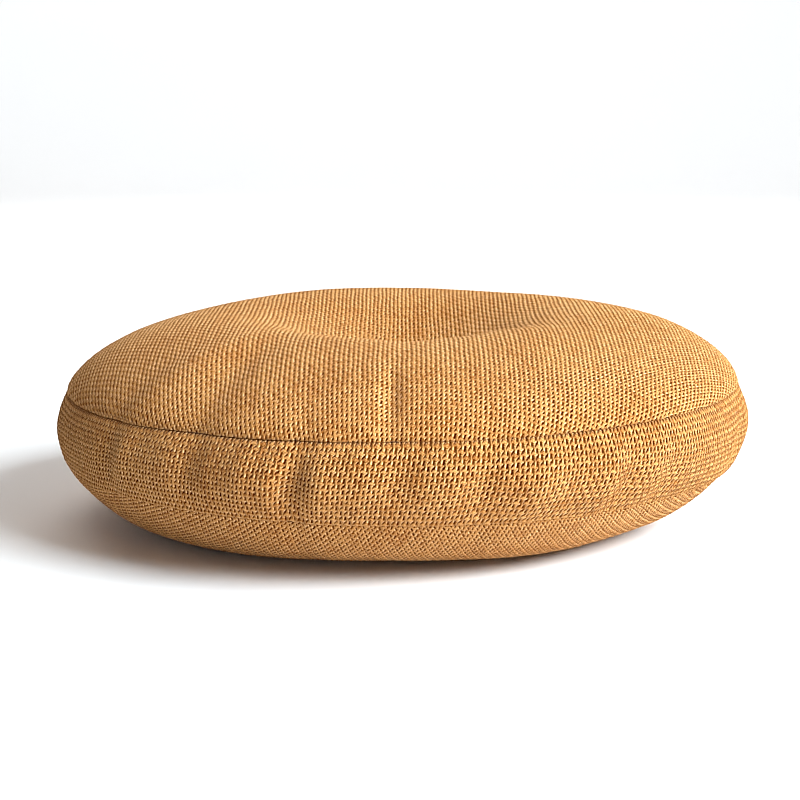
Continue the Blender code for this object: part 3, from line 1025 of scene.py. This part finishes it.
def thread_finish(name):
    """Sewing thread, made dark as painted shade deep in the seam, with painted shade in the grooves
    of its twist.
    """
    wiring = Wiring(name)
    coordinates = wiring.node("UVMap", uv_map="weave")[0]
    along, around, _ = wiring.node("SeparateXYZ", {"Vector": coordinates})
    lay = turned(wiring, along, around, THREAD_TWIST, 2.0 * math.pi)
    twist = wiring.smooth(wiring.math("SINE", lay), -1.0, 1.0)
    # painted shade in the grooves of the twist
    colour = wiring.tint(twist, THREAD_TWIST_SHADE, THREAD_AND_SEAM_SHADE)
    normal = wiring.bump(twist, THREAD_BUMP)
    inputs = {"Base Color": colour, "Roughness": THREAD_ROUGHNESS, "Normal": normal}
    return wiring.finish(inputs)


def floor_finish():
    """Matt pale paper."""
    wiring = Wiring("floor_paper")
    place = wiring.node("TexCoord")["Object"]
    grain = wiring.noise(place, FLOOR_GRAIN)
    colour = wiring.tint(wiring.math("MULTIPLY", grain, FLOOR_MOTTLE), FLOOR_COLOUR, FLOOR_DARKER)
    return wiring.finish({"Base Color": colour, "Roughness": FLOOR_ROUGHNESS})


# --- the studio --------------------------------------------------------------


def floor_profile():
    """Radius and height of each ring of the floor, out and then up."""
    profile = [(FLOOR_RADIUS * share, 0.0) for share in FLOOR_SHARES]
    for step in range(COVE_STEPS + 1):
        turn = math.pi / 2.0 * step / COVE_STEPS
        out, up = COVE_RADIUS * math.sin(turn), COVE_RADIUS * (1.0 - math.cos(turn))
        profile.append((FLOOR_RADIUS + out, up))
    return profile


def add_floor():
    """A round of pale paper that curves up into a wall far from the cushion."""
    points = [(0.0, 0.0, 0.0)]
    faces = []
    for ring, (radius, height) in enumerate(floor_profile()):
        for i in range(FLOOR_SEGMENTS):
            angle = 2.0 * math.pi * i / FLOOR_SEGMENTS
            points.append((radius * math.cos(angle), radius * math.sin(angle), height))
            onward = (i + 1) % FLOOR_SEGMENTS
            start = 1 + ring * FLOOR_SEGMENTS
            inner = start - FLOOR_SEGMENTS
            if ring == 0:
                faces.append((0, start + i, start + onward))
            else:
                faces.append((inner + i, start + i, start + onward, inner + onward))
    mesh = bpy.data.meshes.new("floor")
    mesh.from_pydata(points, [], faces)
    mesh.shade_smooth()
    mesh.materials.append(floor_finish())
    return placed("floor", mesh)


def add_light(name, place, aim, size, power, colour):
    """A soft light of this width and height."""
    data = bpy.data.lights.new(name, "AREA")
    data.shape = "RECTANGLE"
    data.size, data.size_y = size
    data.energy = power
    data.color = colour
    light = placed(name, data)
    light.location = place
    light.rotation_euler = (Vector(aim) - Vector(place)).to_track_quat("-Z", "Y").to_euler()


def light_studio():
    """The lights, and an even pale surround."""
    for light in LIGHTS:
        add_light(*light)
    world = bpy.data.worlds.new("surround")
    world.use_nodes = True
    background = world.node_tree.nodes["Background"]
    background.inputs["Color"].default_value = SURROUND_COLOUR
    background.inputs["Strength"].default_value = SURROUND_STRENGTH
    bpy.context.scene.world = world
    bpy.context.scene.view_settings.view_transform = "Standard"


def compose(tree, kind, *images, **settings):
    """Adds a compositor node, sets its properties and joins images to its last inputs."""
    node = tree.nodes.new("CompositorNode" + kind)
    for key, value in settings.items():
        setattr(node, key, value)
    sockets = list(node.inputs)[-len(images):] if images else []
    for image, socket in zip(images, sockets):
        tree.links.new(image, socket)
    return node


def convert(tree, image, before, after):
    """The image taken from one colour space to another."""
    node = compose(tree, "ConvertColorSpace", image)
    node.from_color_space, node.to_color_space = before, after
    return node.outputs[0]


def add_sharpening():
    """Crispens the picture's light and dark as displayed, as the photograph was."""
    scene = bpy.context.scene
    scene.use_nodes = True
    tree = scene.node_tree
    tree.nodes.clear()
    rendered = compose(tree, "RLayers").outputs["Image"]
    scene_space, shown_space = "Linear Rec.709", "sRGB"
    shown = convert(tree, rendered, scene_space, shown_space)
    grey = compose(tree, "RGBToBW", shown).outputs[0]
    crisp = compose(tree, "Filter", grey, filter_type="SHARPEN")
    crisp.inputs["Fac"].default_value = SHARPENING
    detail = compose(tree, "MixRGB", crisp.outputs[0], grey, blend_type="SUBTRACT").outputs[0]
    finished = compose(tree, "MixRGB", shown, detail, blend_type="ADD").outputs[0]
    compose(tree, "Composite", convert(tree, finished, shown_space, scene_space))


def add_camera():
    """The photograph's view: its place, focal length and the point its axis meets."""
    data = bpy.data.cameras.new("camera")
    data.sensor_width = SENSOR_MM
    data.lens = FOCAL_PIXELS * SENSOR_MM / IMAGE_PIXELS
    data.shift_x = 0.5 - CENTRE_PIXELS[0] / IMAGE_PIXELS
    data.shift_y = CENTRE_PIXELS[1] / IMAGE_PIXELS - 0.5
    camera = placed("camera", data)
    back = Vector((0.0, -math.cos(VIEW_ELEVATION), math.sin(VIEW_ELEVATION)))
    camera.location = Vector(VIEW_TARGET) + back * VIEW_DISTANCE
    camera.rotation_euler = (-back).to_track_quat("-Z", "Y").to_euler()
    bpy.context.scene.camera = camera


# --- the scene ---------------------------------------------------------------


def dress():
    """Lays the cloths and threads over the frame, hangs each on the root body and hides the solids
    that the cloths replace.
    """
    panel_cloth = woven_cloth("panel_cloth", PANEL_ROUNDNESS)
    band_cloth = woven_cloth("band_cloth", BAND_ROUNDNESS)
    thread = thread_finish("seam_thread")
    top = Round(top_surface, 1.0, lambda reach: 2.0 - reach, TOP_GRAIN)
    bottom = Round(bottom_surface, -1.0, lambda reach: reach - 1.0, BOTTOM_GRAIN)
    cloths = (
        (woven_round("top_cloth", top, panel_cloth), "top_panel", "panel_cloth"),
        (woven_band("band_cloth", Band(), band_cloth), "cushion_body", "band_cloth"),
        (woven_round("bottom_cloth", bottom, panel_cloth), "bottom_panel", "panel_cloth"),
    )
    for piece, node, slot in cloths:
        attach(piece, "root")
        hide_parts(node)
    for name, ring in (("top_seam_thread", TOP_RING), ("bottom_seam_thread", BOTTOM_RING)):
        piece = seam_thread(name, ring, thread)
        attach(piece, "root")


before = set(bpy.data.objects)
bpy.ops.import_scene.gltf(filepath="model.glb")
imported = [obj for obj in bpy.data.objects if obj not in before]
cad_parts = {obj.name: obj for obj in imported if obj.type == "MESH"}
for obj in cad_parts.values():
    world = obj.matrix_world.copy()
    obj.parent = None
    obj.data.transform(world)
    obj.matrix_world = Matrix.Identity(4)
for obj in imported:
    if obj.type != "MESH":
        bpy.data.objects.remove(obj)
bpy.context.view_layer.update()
dress()
add_camera()
add_sharpening()
light_studio()
add_floor()
